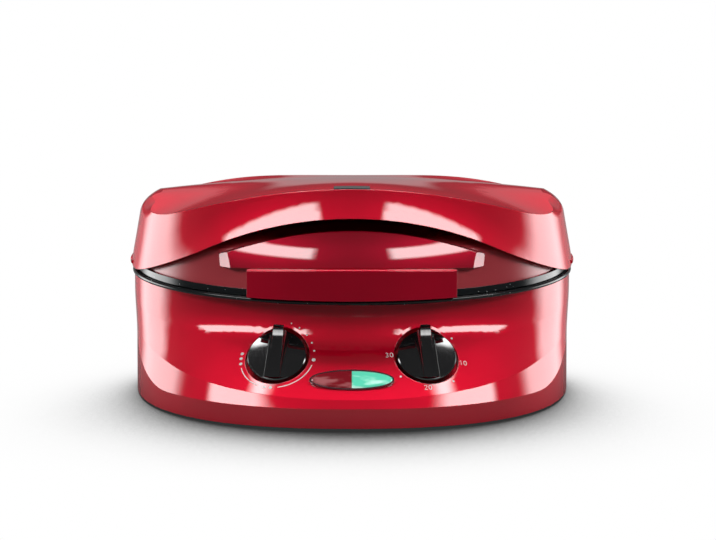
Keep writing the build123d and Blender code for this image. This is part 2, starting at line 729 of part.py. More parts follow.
for side, control in ((-1, "thermostat"), (1, "timer")):
    with BuildPart() as shaft:
        with BuildSketch(knob_plane(side, SHAFT_LOW)):
            Circle(SHAFT_R)
        extrude(amount=BODY_TOP - SHAFT_LOW)
        with BuildSketch(knob_plane(side, BODY_TOP)):
            shaft_section(0)
        extrude(amount=SHAFT_HIGH - BODY_TOP)
    finish(shaft, f"{control}_shaft")

    face = knob_plane(side, KNOB_PROUD)
    across = Plane(origin=face.origin, x_dir=face.x_dir, z_dir=-face.y_dir)
    along = Plane(origin=face.origin, x_dir=face.y_dir, z_dir=face.x_dir)
    with BuildPart() as grip:
        with BuildSketch(across):
            with BuildLine():
                grip_section()
            make_face()
        extrude(amount=KNOB_R, both=True)
        with BuildSketch(along):
            with BuildLine():
                tail, crest = (-KNOB_R, GRIP_TAIL), (KNOB_R - GRIP_CREST_L, GRIP_TOP)
                Polyline(tail, (-KNOB_R, -KNOB_EDGE), (KNOB_R, -KNOB_EDGE), (KNOB_R, GRIP_TOP), crest)
                Bezier(crest, (KNOB_R / 3, GRIP_WAIST), tail)
            make_face()
        extrude(amount=GRIP_FOOT_W, both=True, mode=Mode.INTERSECT)
        with BuildSketch(face.offset(-2 * KNOB_EDGE)):
            Circle(KNOB_R - 1.5 * KNOB_EDGE)
        extrude(amount=GRIP_TOP * 2, mode=Mode.INTERSECT)
    with BuildPart() as knob:
        with BuildSketch(across):
            with BuildLine():
                low, shoulder = KNOB_LOW - KNOB_PROUD, (KNOB_R - KNOB_EDGE, 0)
                Polyline((0, KNOB_DOME), (0, low), (KNOB_R, low), (KNOB_R, -KNOB_EDGE), shoulder)
                dome_r = (shoulder[0] ** 2 + KNOB_DOME**2) / (2 * KNOB_DOME)
                RadiusArc(shoulder, (0, KNOB_DOME), -dome_r)
            make_face()
        revolve(axis=Axis(face.origin, face.z_dir))
        add(grip.part)
        with BuildSketch(knob_plane(side, KNOB_LOW)):
            shaft_section(KNOB_FIT_GAP)
        extrude(amount=SHAFT_HIGH + KNOB_FIT_GAP - KNOB_LOW, mode=Mode.SUBTRACT)
    finish(knob, f"{control}_knob")

# ---- indicator window ----------------------------------------------------------------------------

with BuildPart() as indicator_bezel:
    with BuildSketch(window_plane(-WINDOW_DEEP)):
        with BuildLine():
            window_outline(0)
        make_face()
        with BuildLine():
            window_outline(WINDOW_RIM)
        make_face(mode=Mode.SUBTRACT)
    extrude(amount=WINDOW_DEEP + WINDOW_PROUD)
finish(indicator_bezel, "indicator_bezel")

for side, name in ((-1, "indicator_lens_red"), (1, "indicator_lens_green")):
    with BuildPart() as lens:
        with BuildSketch(window_plane(LENS_PROUD - LENS_CROWN - LENS_T)):
            with BuildLine():
                window_outline(WINDOW_RIM + WINDOW_GAP)
            make_face()
            with Locations((side * WINDOW_GAP, 0)):
                align = (Align.MIN if side > 0 else Align.MAX, Align.CENTER)
                Rectangle(WINDOW_L, WINDOW_H, align=align, mode=Mode.INTERSECT)
        extrude(amount=LENS_T)
        outward = Axis(window_plane().origin, window_plane().z_dir)
        extrude(lens.faces().sort_by(outward)[-1], amount=LENS_CROWN, taper=55)
    finish(lens, name)

with BuildPart() as lamp_holder:
    with BuildSketch(window_plane(-WINDOW_DEEP - HOLDER_T)):
        RectangleRounded(HOLDER_L, HOLDER_W, 3)
    extrude(amount=HOLDER_T)
    with BuildSketch(window_plane(-WINDOW_DEEP)):
        with Locations((-LAMP_X, 0), (LAMP_X, 0)):
            Circle(HOLDER_W / 2 - SHEET_T)
    extrude(amount=SHEET_T - HOLDER_T, mode=Mode.SUBTRACT)
finish(lamp_holder, "lamp_holder")

with BuildPart() as indicator_lamps:
    with BuildSketch(window_plane(-WINDOW_DEEP - HOLDER_T + SHEET_T)):
        with Locations((-LAMP_X, 0), (LAMP_X, 0)):
            Circle(LAMP_R)
    extrude(amount=LAMP_L)
finish(indicator_lamps, "indicator_lamps")

# ---- supply --------------------------------------------------------------------------------------

gland_out = wall_plane(GLAND_TURN, FLOOR_R + GLAND_GAP / 2, GLAND_Z)
gland_in = wall_plane(GLAND_TURN, FLOOR_R - SHELL_WALL - GLAND_GAP, GLAND_Z, inward=True)
with BuildPart() as cord_gland:
    with BuildSketch(gland_in):
        Circle(GLAND_NECK_R)
    extrude(amount=-SHELL_WALL - GLAND_GAP * 2)
    with BuildSketch(gland_in):
        Circle(GLAND_FLANGE_R)
    extrude(amount=GLAND_FLANGE_T)
    with BuildSketch(gland_out):
        Circle(GLAND_FLANGE_R)
    extrude(amount=GLAND_FLANGE_T)
    with BuildSketch(gland_out.offset(GLAND_FLANGE_T)):
        Circle(GLAND_NECK_R)
    extrude(amount=GLAND_TAIL, taper=8)
    with BuildSketch(gland_out):
        Circle(GLAND_BORE_R)
    extrude(amount=GLAND_TAIL * 3, both=True, mode=Mode.SUBTRACT)
finish(cord_gland, "cord_gland")

with BuildPart() as terminal_block:
    with BuildSketch(Plane.XY.offset(PLATE_TOP_Z)):
        with Locations((BLOCK_X, BLOCK_Y)):
            Rectangle(BLOCK_W, BLOCK_D)
    extrude(amount=BLOCK_H)
    with BuildSketch(Plane.XZ.offset(-BLOCK_Y - BLOCK_D / 2)):
        with Locations((BLOCK_X, PLATE_TOP_Z + BLOCK_H / 2)):
            with GridLocations(BLOCK_W / 3, 1, 3, 1):
                Circle(2.5)
    extrude(amount=BLOCK_D, mode=Mode.SUBTRACT)
finish(terminal_block, "terminal_block")

# ---- lid shell -----------------------------------------------------------------------------------


def shoulder_lift(turn):
    """How far the rounded shoulder is raised: it leaves the side wall to become the front visor."""
    return SHOULDER_LIFT * ease((LIFT_TO - abs(turn)) / (LIFT_TO - LIFT_FROM))


def visor_edge_z(x):
    """Height of the visor's lower edge: an arc that runs on into straight sides."""
    if abs(x) < VISOR_STRAIGHT_X:
        return VISOR_EDGE_Z - VISOR_EDGE_R + sqrt(VISOR_EDGE_R**2 - x**2)
    return visor_bend_z - (abs(x) - VISOR_STRAIGHT_X) * VISOR_STRAIGHT_X / visor_run


def lid_outline(turn, inset, foot_z):
    """Draws half of the lid's section: curled foot, leaning wall with the visor's lip, rounded shoulder."""
    wall_top = SHOULDER_Z + shoulder_lift(turn) - inset
    lip_z = max(LIP_LOW_Z, visor_edge_z(LID_R * sin(radians(turn))))
    lip_r = lid_wall_r(lip_z) + LIP_FLARE * ease((LIP_TO - abs(turn)) / (LIP_TO - LIP_FROM)) - inset
    lip_bend = (lid_wall_r(lip_z + LIP_H / 2) - inset, lip_z + LIP_H / 2)
    lip_top = (lid_wall_r(lip_z + LIP_H) - inset, lip_z + LIP_H)
    mid = wall_top + SHOULDER_RISE
    end = (lid_wall_r(mid) - SHOULDER_IN - inset, mid + SHOULDER_END)
    start = (lid_wall_r(wall_top) - inset, wall_top)
    foot_r, curl_r = lid_wall_r(LID_CURL_Z) - LID_CURL - inset, lid_wall_r(LID_CURL_Z) - inset
    roof_z = end[1] + SHOULDER_SLOPE * (end[0] - LID_CORE_R)
    Polyline((LID_CORE_R, foot_z), (foot_r, foot_z), (curl_r, LID_CURL_Z), (lip_r, lip_z))
    Bezier((lip_r, lip_z), lip_bend, lip_top)
    Line(lip_top, start)
    Bezier(start, (lid_wall_r(mid) - inset, mid), end)
    Polyline(end, (LID_CORE_R, roof_z), (LID_CORE_R, foot_z))


def lid_roof(inset):
    """Everything under the roof, as a solid."""
    with BuildPart() as roof:
        for y, middle, drop in ROOF:
            edge = middle - inset - drop * (TOP_HALF_W / TOP_GAUGE) ** 2
            with BuildSketch(Plane(origin=(0, y, 0), x_dir=(1, 0, 0), z_dir=(0, -1, 0))):
                with BuildLine():
                    left, right = (-TOP_HALF_W, edge), (TOP_HALF_W, edge)
                    ThreePointArc(left, (0, middle - inset), right)
                    Polyline(right, (TOP_HALF_W, ROOF_FOOT_Z), (-TOP_HALF_W, ROOF_FOOT_Z), left)
                make_face()
        loft()
    return roof.part


def lid_solid(inset, foot_z):
    """The lid as a filled solid, moved inward by inset."""
    with BuildPart() as front:
        for turn in FRONT_TURNS:
            with BuildSketch(upright_plane(turn)):
                with BuildLine():
                    lid_outline(turn, inset, foot_z)
                make_face()
        loft()
    with BuildPart() as back:
        with BuildSketch(upright_plane(90)):
            with BuildLine():
                lid_outline(90, inset, foot_z)
            make_face()
        revolve(axis=Axis.Z, revolution_arc=180)
    with BuildPart() as middle:
        with BuildSketch(Plane.XY.offset(foot_z)):
            Circle(LID_CORE_R + LID_CORE_LAP)
        extrude(amount=POST_TOP_Z - foot_z)
    return (front.part + back.part + middle.part) & lid_roof(inset)


def lid_screw_plane(place):
    """A lid screw's head stands on the underside of the bowl's roof."""
    return Plane(origin=(place[0], place[1], BOWL_ROOF_Z), z_dir=(0, 0, -1))


SKIRT_LEAN = (SKIRT_FOOT_R - SKIRT_BEND_R) / (SKIRT_BEND_Z - BOWL_Z - SHEET_T)


def skirt_r(z):
    """Outer radius of the skirt's leaning wall."""
    return SKIRT_FOOT_R - SKIRT_LEAN * (z - BOWL_Z - SHEET_T)


def skirt_screw_plane(turn, z):
    """A screw through the skirt from inside, its head on the skirt's inner face."""
    return wall_plane(turn, skirt_r(z) - SHEET_T - RUN_GAP, z, degrees(atan(SKIRT_LEAN)), inward=True)


visor_run = sqrt(VISOR_EDGE_R**2 - VISOR_STRAIGHT_X**2)
visor_bend_z = VISOR_EDGE_Z - VISOR_EDGE_R + visor_run
lid_outer = lid_solid(0, LID_FOOT_Z)
lid_inner = lid_solid(LID_WALL, LID_FOOT_Z - 1)

with BuildPart() as lid_posts:
    for x, y in LID_SCREW_PLACES:
        with Locations((x, y, SKIRT_ROOF_Z)):
            Cylinder(POST_R, POST_TOP_Z - SKIRT_ROOF_Z, align=BOTTOM_UP)
    add(lid_outer, mode=Mode.INTERSECT)

with BuildPart() as lid_bead:
    with BuildSketch(upright_plane(180 - BEAD_HALF_TURN)):
        with Locations((BEAD_OUT_R - BEAD_R, BEAD_Z)):
            Circle(BEAD_R)
    revolve(axis=Axis.Z, revolution_arc=2 * BEAD_HALF_TURN)

visor_end_z = visor_edge_z(TOP_HALF_W)
with BuildPart() as lid_shell:
    add(lid_outer)
    add(lid_inner, mode=Mode.SUBTRACT)
    add(lid_posts.part)
    add(lid_bead.part)
    with BuildSketch(Plane.XZ.offset(-VISOR_CUT_Y)):
        with BuildLine():
            left, right = (-VISOR_STRAIGHT_X, visor_bend_z), (VISOR_STRAIGHT_X, visor_bend_z)
            ThreePointArc(left, (0, VISOR_EDGE_Z), right)
            Polyline(
                right, (TOP_HALF_W, visor_end_z), (TOP_HALF_W, ROOF_FOOT_Z),
                (-TOP_HALF_W, ROOF_FOOT_Z), (-TOP_HALF_W, visor_end_z), left,
            )
        make_face()
    extrude(amount=TOP_HALF_W, mode=Mode.SUBTRACT)
    for place in LID_SCREW_PLACES:
        screw_hole(lid_screw_plane(place), SKIRT_ROOF_Z - BOWL_ROOF_Z + LID_SCREW_BITE + 1)
    for turn in HINGE_SCREW_TURNS:
        for z in LID_HINGE_SCREW_Z:
            screw_hole(lid_hinge_screw_plane(turn, z), LID_WALL * 3)
finish(lid_shell, "lid_shell")

# ---- lid bowl, skirt and upper heater ------------------------------------------------------------

bowl_flange_z = BOWL_Z + SHEET_T
bowl_bend_z = BOWL_ROOF_Z - BOWL_BEND
with BuildPart() as lid_bowl:
    with BuildSketch(Plane.XZ):
        with BuildLine():
            lip_r, wall_r, bend_r = BOWL_RIM_R - SHEET_T, BOWL_MOUTH_R + SHEET_T, BOWL_MOUTH_R - BOWL_LEAN
            top_z = BOWL_ROOF_Z + SHEET_T
            Polyline(
                (0, BOWL_ROOF_Z), (0, top_z), (BOWL_ROOF_R, top_z), (bend_r + SHEET_T, bowl_bend_z),
                (wall_r, bowl_flange_z), (lip_r, bowl_flange_z), (lip_r, BOWL_RIM_TOP_Z),
                (BOWL_RIM_R, BOWL_RIM_TOP_Z), (BOWL_RIM_R, BOWL_Z), (BOWL_MOUTH_R, BOWL_Z),
                (bend_r, bowl_bend_z), (BOWL_ROOF_R - SHEET_T / 2, BOWL_ROOF_Z), (0, BOWL_ROOF_Z),
            )
        make_face()
    revolve(axis=Axis.Z)
    with Locations(*leg_places(UPPER_HEATER_R, BOWL_ROOF_Z)):
        Cylinder(HEATER_TUBE_R + HEATER_LEG_GAP, SHEET_T * 4, mode=Mode.SUBTRACT)
    for place in LID_SCREW_PLACES:
        screw_hole(lid_screw_plane(place), SHEET_T * 2)
finish(lid_bowl, "lid_bowl")

finish(heater(UPPER_HEATER_R, UPPER_HEATER_Z, UPPER_LEG_TOP_Z), "upper_heater")
clip_low_z = UPPER_HEATER_Z - HEATER_TUBE_R - CLIP_WALL
finish(heater_clips(UPPER_HEATER_R, UPPER_HEATER_Z, clip_low_z, BOWL_ROOF_Z), "upper_heater_clips")

with BuildPart() as lid_skirt:
    with BuildSketch(Plane.XZ):
        with BuildLine():
            foot, bend = (SKIRT_FOOT_R, bowl_flange_z), (SKIRT_BEND_R, SKIRT_BEND_Z)
            roof = (SKIRT_ROOF_R, SKIRT_ROOF_Z)
            foot_in, bend_in = (foot[0] - SHEET_T, foot[1]), (bend[0] - SHEET_T, bend[1])
            roof_in = (roof[0], roof[1] - SHEET_T)
            Polyline((0, roof_in[1]), (0, roof[1]), roof)
            Bezier(roof, (bend[0] - 2, roof[1] - 2), bend)
            Polyline(bend, foot, foot_in, bend_in)
            Bezier(bend_in, (bend_in[0] - 2, roof_in[1] - 2), roof_in)
            Line(roof_in, (0, roof_in[1]))
        make_face()
    revolve(axis=Axis.Z)
    for place in LID_SCREW_PLACES:
        screw_hole(lid_screw_plane(place), SKIRT_ROOF_Z - BOWL_ROOF_Z + 1)
    for side in (-1, 1):
        screw_hole(skirt_screw_plane(side * BLOCK_SCREW_TURN, BLOCK_SCREW_Z), SHEET_T * 3)
        screw_hole(skirt_screw_plane(side * SCOOP_SCREW_TURN, SCOOP_SCREW_Z), SHEET_T * 3)
finish(lid_skirt, "lid_skirt")

with BuildPart() as insulation_pad:
    with Locations((0, 0, BOWL_ROOF_Z + SHEET_T)):
        Cylinder(PAD_R, PAD_T, align=BOTTOM_UP)
    with Locations(*leg_places(UPPER_HEATER_R, BOWL_ROOF_Z)):
        Cylinder(HEATER_TUBE_R + HEATER_LEG_GAP, PAD_T * 4, mode=Mode.SUBTRACT)
    for place in LID_SCREW_PLACES:
        screw_hole(lid_screw_plane(place), PAD_T * 2)
finish(insulation_pad, "insulation_pad")

with BuildPart() as lid_screws:
    for place in LID_SCREW_PLACES:
        screw(lid_screw_plane(place), SKIRT_ROOF_Z - BOWL_ROOF_Z + LID_SCREW_BITE)
finish(lid_screws, "lid_screws")

# ---- front block and finger scoop ----------------------------------------------------------------


def block_solid(out_r, low_z, top_z, in_step, end_turn):
    """A block that follows the skirt, its back stepped round the bowl's rim."""
    step_z = BOWL_RIM_TOP_Z + BLOCK_RIM_GAP
    rim_r = BOWL_RIM_R + BLOCK_RIM_GAP - in_step
    back_r = SCOOP_GAP - in_step
    with BuildPart() as block:
        with BuildSketch(upright_plane(-end_turn)):
            with BuildLine():
                Polyline(
                    (rim_r, low_z), (out_r, low_z), (out_r, top_z), (skirt_r(top_z) + back_r, top_z),
                    (skirt_r(step_z) + back_r, step_z), (rim_r, step_z), (rim_r, low_z),
                )
            make_face()
        revolve(axis=Axis.Z, revolution_arc=2 * end_turn)
    return block.part


def under_arch(top_z):
    """All below the shallow arch on which the scoop sits, whose crown is at top_z."""
    with BuildPart() as below:
        with Locations((0, 0, top_z - BLOCK_ARC_R)):
            Cylinder(BLOCK_ARC_R, CONSOLE_REACH * 2, rotation=(90, 0, 0))
    return below.part


with BuildPart() as front_block:
    add(block_solid(BLOCK_OUT_R, BOWL_Z, BLOCK_TOP_Z, 0, BLOCK_END_TURN) & under_arch(BLOCK_TOP_Z))
    top_face = front_block.faces().sort_by(Axis.Z)[-1]
    fillet(top_face.edges().sort_by(Axis.Y)[0], BLOCK_FILLET)
    wall_turn = degrees(BLOCK_WALL / BLOCK_OUT_R)
    hollow_top = BLOCK_TOP_Z - BLOCK_WALL
    hollow_r, hollow_turn = BLOCK_OUT_R - BLOCK_WALL, BLOCK_END_TURN - wall_turn
    hollow = block_solid(hollow_r, BOWL_Z - 1, hollow_top, BLOCK_HOLLOW_IN, hollow_turn)
    add(hollow & under_arch(hollow_top), mode=Mode.SUBTRACT)
    for side in (-1, 1):
        turn = side * BLOCK_SCREW_TURN
        seat_r = skirt_r(BLOCK_SCREW_Z) + SCOOP_GAP
        with Locations(wall_plane(turn, seat_r, BLOCK_SCREW_Z, degrees(atan(SKIRT_LEAN)))):
            Cylinder(BLOCK_BOSS_R, BLOCK_OUT_R - BLOCK_WALL / 2 - seat_r, align=BOTTOM_UP)
        screw_hole(skirt_screw_plane(turn, BLOCK_SCREW_Z), BLOCK_SCREW_L + 0.5)
finish(front_block, "front_block")

with BuildPart() as block_screws:
    for side in (-1, 1):
        screw(skirt_screw_plane(side * BLOCK_SCREW_TURN, BLOCK_SCREW_Z), BLOCK_SCREW_L)
finish(block_screws, "block_screws")

SCOOP_LOW_Z = BLOCK_TOP_Z + SCOOP_GAP
SCOOP_FOOT_Z = SCOOP_LOW_Z - SCOOP_FOOT_DROP
SCOOP_HIGH_Z = SCOOP_TOP_Z + 1.3


def scoop_ring(inset, low_z):
    """A full ring between the scoop's bulged face, moved inward by inset, and the skirt."""
    foot, lip = (SCOOP_FOOT_R - inset, SCOOP_FOOT_Z), (SCOOP_LIP_R - inset, SCOOP_HIGH_Z)
    middle = ((foot[0] + lip[0]) / 2 + SCOOP_BULGE * 0.9, (foot[1] + lip[1]) / 2 + SCOOP_BULGE * 0.45)
    bend = (SKIRT_BEND_R + SCOOP_GAP, SKIRT_BEND_Z)
    roof = (SKIRT_ROOF_R + SCOOP_GAP, SKIRT_ROOF_Z + SCOOP_GAP)
    with BuildPart() as ring:
        with BuildSketch(Plane.XZ):
            with BuildLine():
                ThreePointArc(foot, middle, lip)
                Polyline(lip, (roof[0], lip[1]), roof)
                Bezier(roof, (bend[0] - 2, roof[1] - 2), bend)
                Polyline(bend, (skirt_r(SCOOP_FOOT_Z) + SCOOP_GAP, SCOOP_FOOT_Z), foot)
            make_face()
        revolve(axis=Axis.Z)
        add(under_arch(low_z), mode=Mode.SUBTRACT)
    return ring.part


with BuildPart() as scoop_lens:
    for y in (SCOOP_NEAR_Y, SCOOP_FAR_Y):
        foot_x = SCOOP_FOOT_HALF_W + SCOOP_SPLAY * (y - SCOOP_FOOT_Y)
        tip_x = SCOOP_HALF_W + SCOOP_SPLAY * (y - SCOOP_TIP_Y)
        tip_z = SCOOP_TOP_Z - SCOOP_ARC_R + sqrt(SCOOP_ARC_R**2 - tip_x**2)
        with BuildSketch(Plane(origin=(0, y, 0), x_dir=(1, 0, 0), z_dir=(0, -1, 0))):
            with BuildLine():
                foot_z = SCOOP_FOOT_Z - 1
                Polyline((-tip_x, tip_z), (-foot_x, foot_z), (foot_x, foot_z), (tip_x, tip_z))
                ThreePointArc((tip_x, tip_z), (0, SCOOP_TOP_Z), (-tip_x, tip_z))
            make_face()
    loft()

with BuildPart() as pocket_wedge:
    with BuildSketch(upright_plane(-SCOOP_POCKET_TURN)):
        with Locations((LID_CORE_R, SCOOP_FOOT_Z)):
            Rectangle(BLOCK_OUT_R, SCOOP_TOP_Z, align=(Align.MIN, Align.MIN))
    revolve(axis=Axis.Z, revolution_arc=2 * SCOOP_POCKET_TURN)

with BuildPart() as finger_scoop:
    add(scoop_ring(0, SCOOP_LOW_Z) & scoop_lens.part)
    add(scoop_ring(SCOOP_WALL, SCOOP_LOW_Z + SCOOP_FLOOR) & pocket_wedge.part, mode=Mode.SUBTRACT)
    for side in (-1, 1):
        screw_hole(skirt_screw_plane(side * SCOOP_SCREW_TURN, SCOOP_SCREW_Z), SCOOP_SCREW_L)
finish(finger_scoop, "finger_scoop")

with BuildPart() as scoop_screws:
    for side in (-1, 1):
        screw(skirt_screw_plane(side * SCOOP_SCREW_TURN, SCOOP_SCREW_Z), SCOOP_SCREW_L - 0.3)
finish(scoop_screws, "scoop_screws")

# ---- badge plate ---------------------------------------------------------------------------------

with BuildPart() as lid_badge:
    add(lid_roof(-BADGE_T) - lid_roof(0))
    with Locations((0, BADGE_Y + BADGE_D / 2, ROOF[0][1])):
        Box(BADGE_W, BADGE_D, BADGE_T * 20, mode=Mode.INTERSECT)
finish(lid_badge, "lid_badge")

# ---- hinge ---------------------------------------------------------------------------------------


def stop_z(y):
    """Height at y of the stop that the arm meets when the lid is open."""
    corner_y, corner_z = ARM_BACK_Y - HINGE_Y, ARM_TOP_Z - HINGE_Z
    open_turn = atan2(corner_z, corner_y) - radians(OPEN_TURN)
    touch_turn = open_turn - acos(KNUCKLE_R / sqrt(corner_y**2 + corner_z**2))
    return HINGE_Z + (KNUCKLE_R + STOP_GAP - (y - HINGE_Y) * cos(touch_turn)) / sin(touch_turn)


with BuildPart() as hinge_bracket:
    with BuildSketch(Plane.YZ):
        with BuildLine():
            Polyline(
                (ARM_TOP_Y, BRACKET_LOW_Z), (EAR_FRONT_Y, BRACKET_LOW_Z), (BRACKET_BACK_Y, EAR_LOW_Z),
                (BRACKET_BACK_Y, BRACKET_TOP_Z), (ARM_TOP_Y, BRACKET_TOP_Z), (ARM_TOP_Y, BRACKET_LOW_Z),
            )
        make_face()
    extrude(amount=EAR_OUT_X, both=True)
    chamfer(hinge_bracket.edges().filter_by(Axis.Z).sort_by(Axis.Y)[-2:], 3)
    lip_front = BRACKET_BACK_Y - STOP_LIP_T
    with BuildSketch(Plane.YZ):
        with BuildLine():
            Polyline(
                (lip_front, EAR_LOW_Z), (BRACKET_BACK_Y, EAR_LOW_Z), (BRACKET_BACK_Y, stop_z(BRACKET_BACK_Y)),
                (lip_front, stop_z(lip_front)), (lip_front, EAR_LOW_Z),
            )
        make_face()
    extrude(amount=EAR_OUT_X - 1, both=True)
    with BuildSketch(Plane.YZ.offset(EAR_IN_X), Plane.YZ.offset(-EAR_OUT_X)):
        with Locations((HINGE_Y, HINGE_Z)):
            Circle(EAR_R)
        with Locations((EAR_FRONT_Y, EAR_LOW_Z)):
            Rectangle(BRACKET_BACK_Y - EAR_FRONT_Y, HINGE_Z - EAR_LOW_Z, align=(Align.MIN, Align.MIN))
    extrude(amount=EAR_OUT_X - EAR_IN_X)
    add(housing_outer, mode=Mode.SUBTRACT)
    with Locations(Location((0, HINGE_Y, HINGE_Z), (0, 90, 0))):
        Cylinder(PIN_R + RUN_GAP, EAR_OUT_X * 3, mode=Mode.SUBTRACT)
    for turn in HINGE_SCREW_TURNS:
        for z in BASE_HINGE_SCREW_Z:
            screw_hole(base_hinge_screw_plane(turn, z), HINGE_SCREW_L + 0.5)
finish(hinge_bracket, "hinge_bracket")

with BuildPart() as hinge_screws_base:
    for turn in HINGE_SCREW_TURNS:
        for z in BASE_HINGE_SCREW_Z:
            screw(base_hinge_screw_plane(turn, z), HINGE_SCREW_L)
finish(hinge_screws_base, "hinge_screws_base")

with BuildPart() as hinge_pin:
    with Locations(Location((0, HINGE_Y, HINGE_Z), (0, 90, 0))):
        Cylinder(PIN_R, 2 * (EAR_OUT_X - PIN_END_GAP))
finish(hinge_pin, "hinge_pin")

ARM_HALF_W = EAR_IN_X - KNUCKLE_GAP
with BuildPart() as hinge_arm:
    with BuildSketch(Plane.YZ):
        with Locations((HINGE_Y, HINGE_Z)):
            Circle(KNUCKLE_R)
        with BuildLine():
            Polyline(
                (ARM_FOOT_Y, ARM_LOW_Z), (ARM_BACK_Y, ARM_LOW_Z), (ARM_BACK_Y, ARM_TOP_Z),
                (ARM_TOP_Y, ARM_TOP_Z), (ARM_FOOT_Y, ARM_LOW_Z),
            )
        make_face()
        make_hull()
    extrude(amount=ARM_HALF_W, both=True)
    add(lid_outer, mode=Mode.SUBTRACT)
    add(lid_bead.part, mode=Mode.SUBTRACT)
    with Locations(Location((0, HINGE_Y, HINGE_Z), (0, 90, 0))):
        Cylinder(PIN_R + 0.5, ARM_HALF_W * 3, mode=Mode.SUBTRACT)
    for side in (-1, 1):
        with Locations(Location((side * (ARM_HALF_W - BUSH_L / 2), HINGE_Y, HINGE_Z), (0, 90, 0))):
            Cylinder(BUSH_R, BUSH_L, mode=Mode.SUBTRACT)
    for turn in HINGE_SCREW_TURNS:
        for z in LID_HINGE_SCREW_Z:
            screw_hole(lid_hinge_screw_plane(turn, z), HINGE_SCREW_L + 0.5)
finish(hinge_arm, "hinge_arm")

with BuildPart() as hinge_bushes:
    for side in (-1, 1):
        with Locations(Location((side * (ARM_HALF_W - BUSH_L / 2), HINGE_Y, HINGE_Z), (0, 90, 0))):
            Cylinder(BUSH_R - 0.02, BUSH_L)
            Cylinder(PIN_R + RUN_GAP, BUSH_L * 2, mode=Mode.SUBTRACT)
finish(hinge_bushes, "hinge_bushes")

with BuildPart() as hinge_screws_lid:
    for turn in HINGE_SCREW_TURNS:
        for z in LID_HINGE_SCREW_Z:
            screw(lid_hinge_screw_plane(turn, z), HINGE_SCREW_L)
finish(hinge_screws_lid, "hinge_screws_lid")
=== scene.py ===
"""Looks, light and camera for the electric pie maker. Metres, +Z up, the console faces -Y."""

import json
from math import cos, pi, radians, sin
from typing import NamedTuple

import bpy
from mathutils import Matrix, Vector
from mathutils.bvhtree import BVHTree


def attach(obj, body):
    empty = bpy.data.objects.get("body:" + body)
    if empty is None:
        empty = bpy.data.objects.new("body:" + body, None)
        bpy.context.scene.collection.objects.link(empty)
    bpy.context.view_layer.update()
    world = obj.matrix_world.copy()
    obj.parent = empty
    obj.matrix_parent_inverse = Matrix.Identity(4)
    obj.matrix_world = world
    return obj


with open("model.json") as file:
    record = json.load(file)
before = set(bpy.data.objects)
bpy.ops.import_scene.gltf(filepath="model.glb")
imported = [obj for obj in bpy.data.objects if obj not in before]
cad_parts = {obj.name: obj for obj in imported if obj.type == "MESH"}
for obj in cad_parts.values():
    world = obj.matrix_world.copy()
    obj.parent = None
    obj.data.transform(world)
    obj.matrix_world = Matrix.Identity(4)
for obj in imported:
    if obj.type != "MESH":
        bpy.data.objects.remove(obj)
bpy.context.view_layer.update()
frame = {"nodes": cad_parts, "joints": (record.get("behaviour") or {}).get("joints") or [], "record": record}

SCENE = bpy.context.scene
NODES = frame["nodes"]
WHITE = (1, 1, 1, 1)

# ---- view ----------------------------------------------------------------------------------------

PHOTO_W, PHOTO_H = 716, 540  # pixels
PIXELS_PER_METRE = 1205.6  # at the aim point
AIM = Vector((0.0, 0.0, 0.097))
AIM_PIXEL = (352.0, 269.5)  # where the aim point lies in the picture
SENSOR = 36.0  # millimetres
CAMERA_DISTANCE = 6.0
CAMERA_RISE = 9.3  # degrees above the horizon
CLIP_NEAR, CLIP_FAR = 0.1, 60.0


def make_camera():
    """A long lens, so that the view is nearly parallel, set a little to the side as in the photograph."""
    rise = radians(CAMERA_RISE)
    back = Vector((0, -cos(rise), sin(rise)))
    up = Vector((0, sin(rise), cos(rise)))
    aside = Vector((1, 0, 0)) * (PHOTO_W / 2 - AIM_PIXEL[0]) / PIXELS_PER_METRE
    above = up * (AIM_PIXEL[1] - PHOTO_H / 2) / PIXELS_PER_METRE
    data = bpy.data.cameras.new("camera")
    data.sensor_width = SENSOR
    data.lens = PIXELS_PER_METRE * CAMERA_DISTANCE * SENSOR / PHOTO_W
    data.clip_start, data.clip_end = CLIP_NEAR, CLIP_FAR
    camera = bpy.data.objects.new("camera", data)
    camera.rotation_mode = "QUATERNION"
    camera.rotation_quaternion = (-back).to_track_quat("-Z", "Y")
    camera.location = AIM + aside + above + back * CAMERA_DISTANCE
    SCENE.collection.objects.link(camera)
    SCENE.camera = camera


# ---- node helpers --------------------------------------------------------------------------------

BEVEL_SAMPLES = 4
MATERIALS = {}


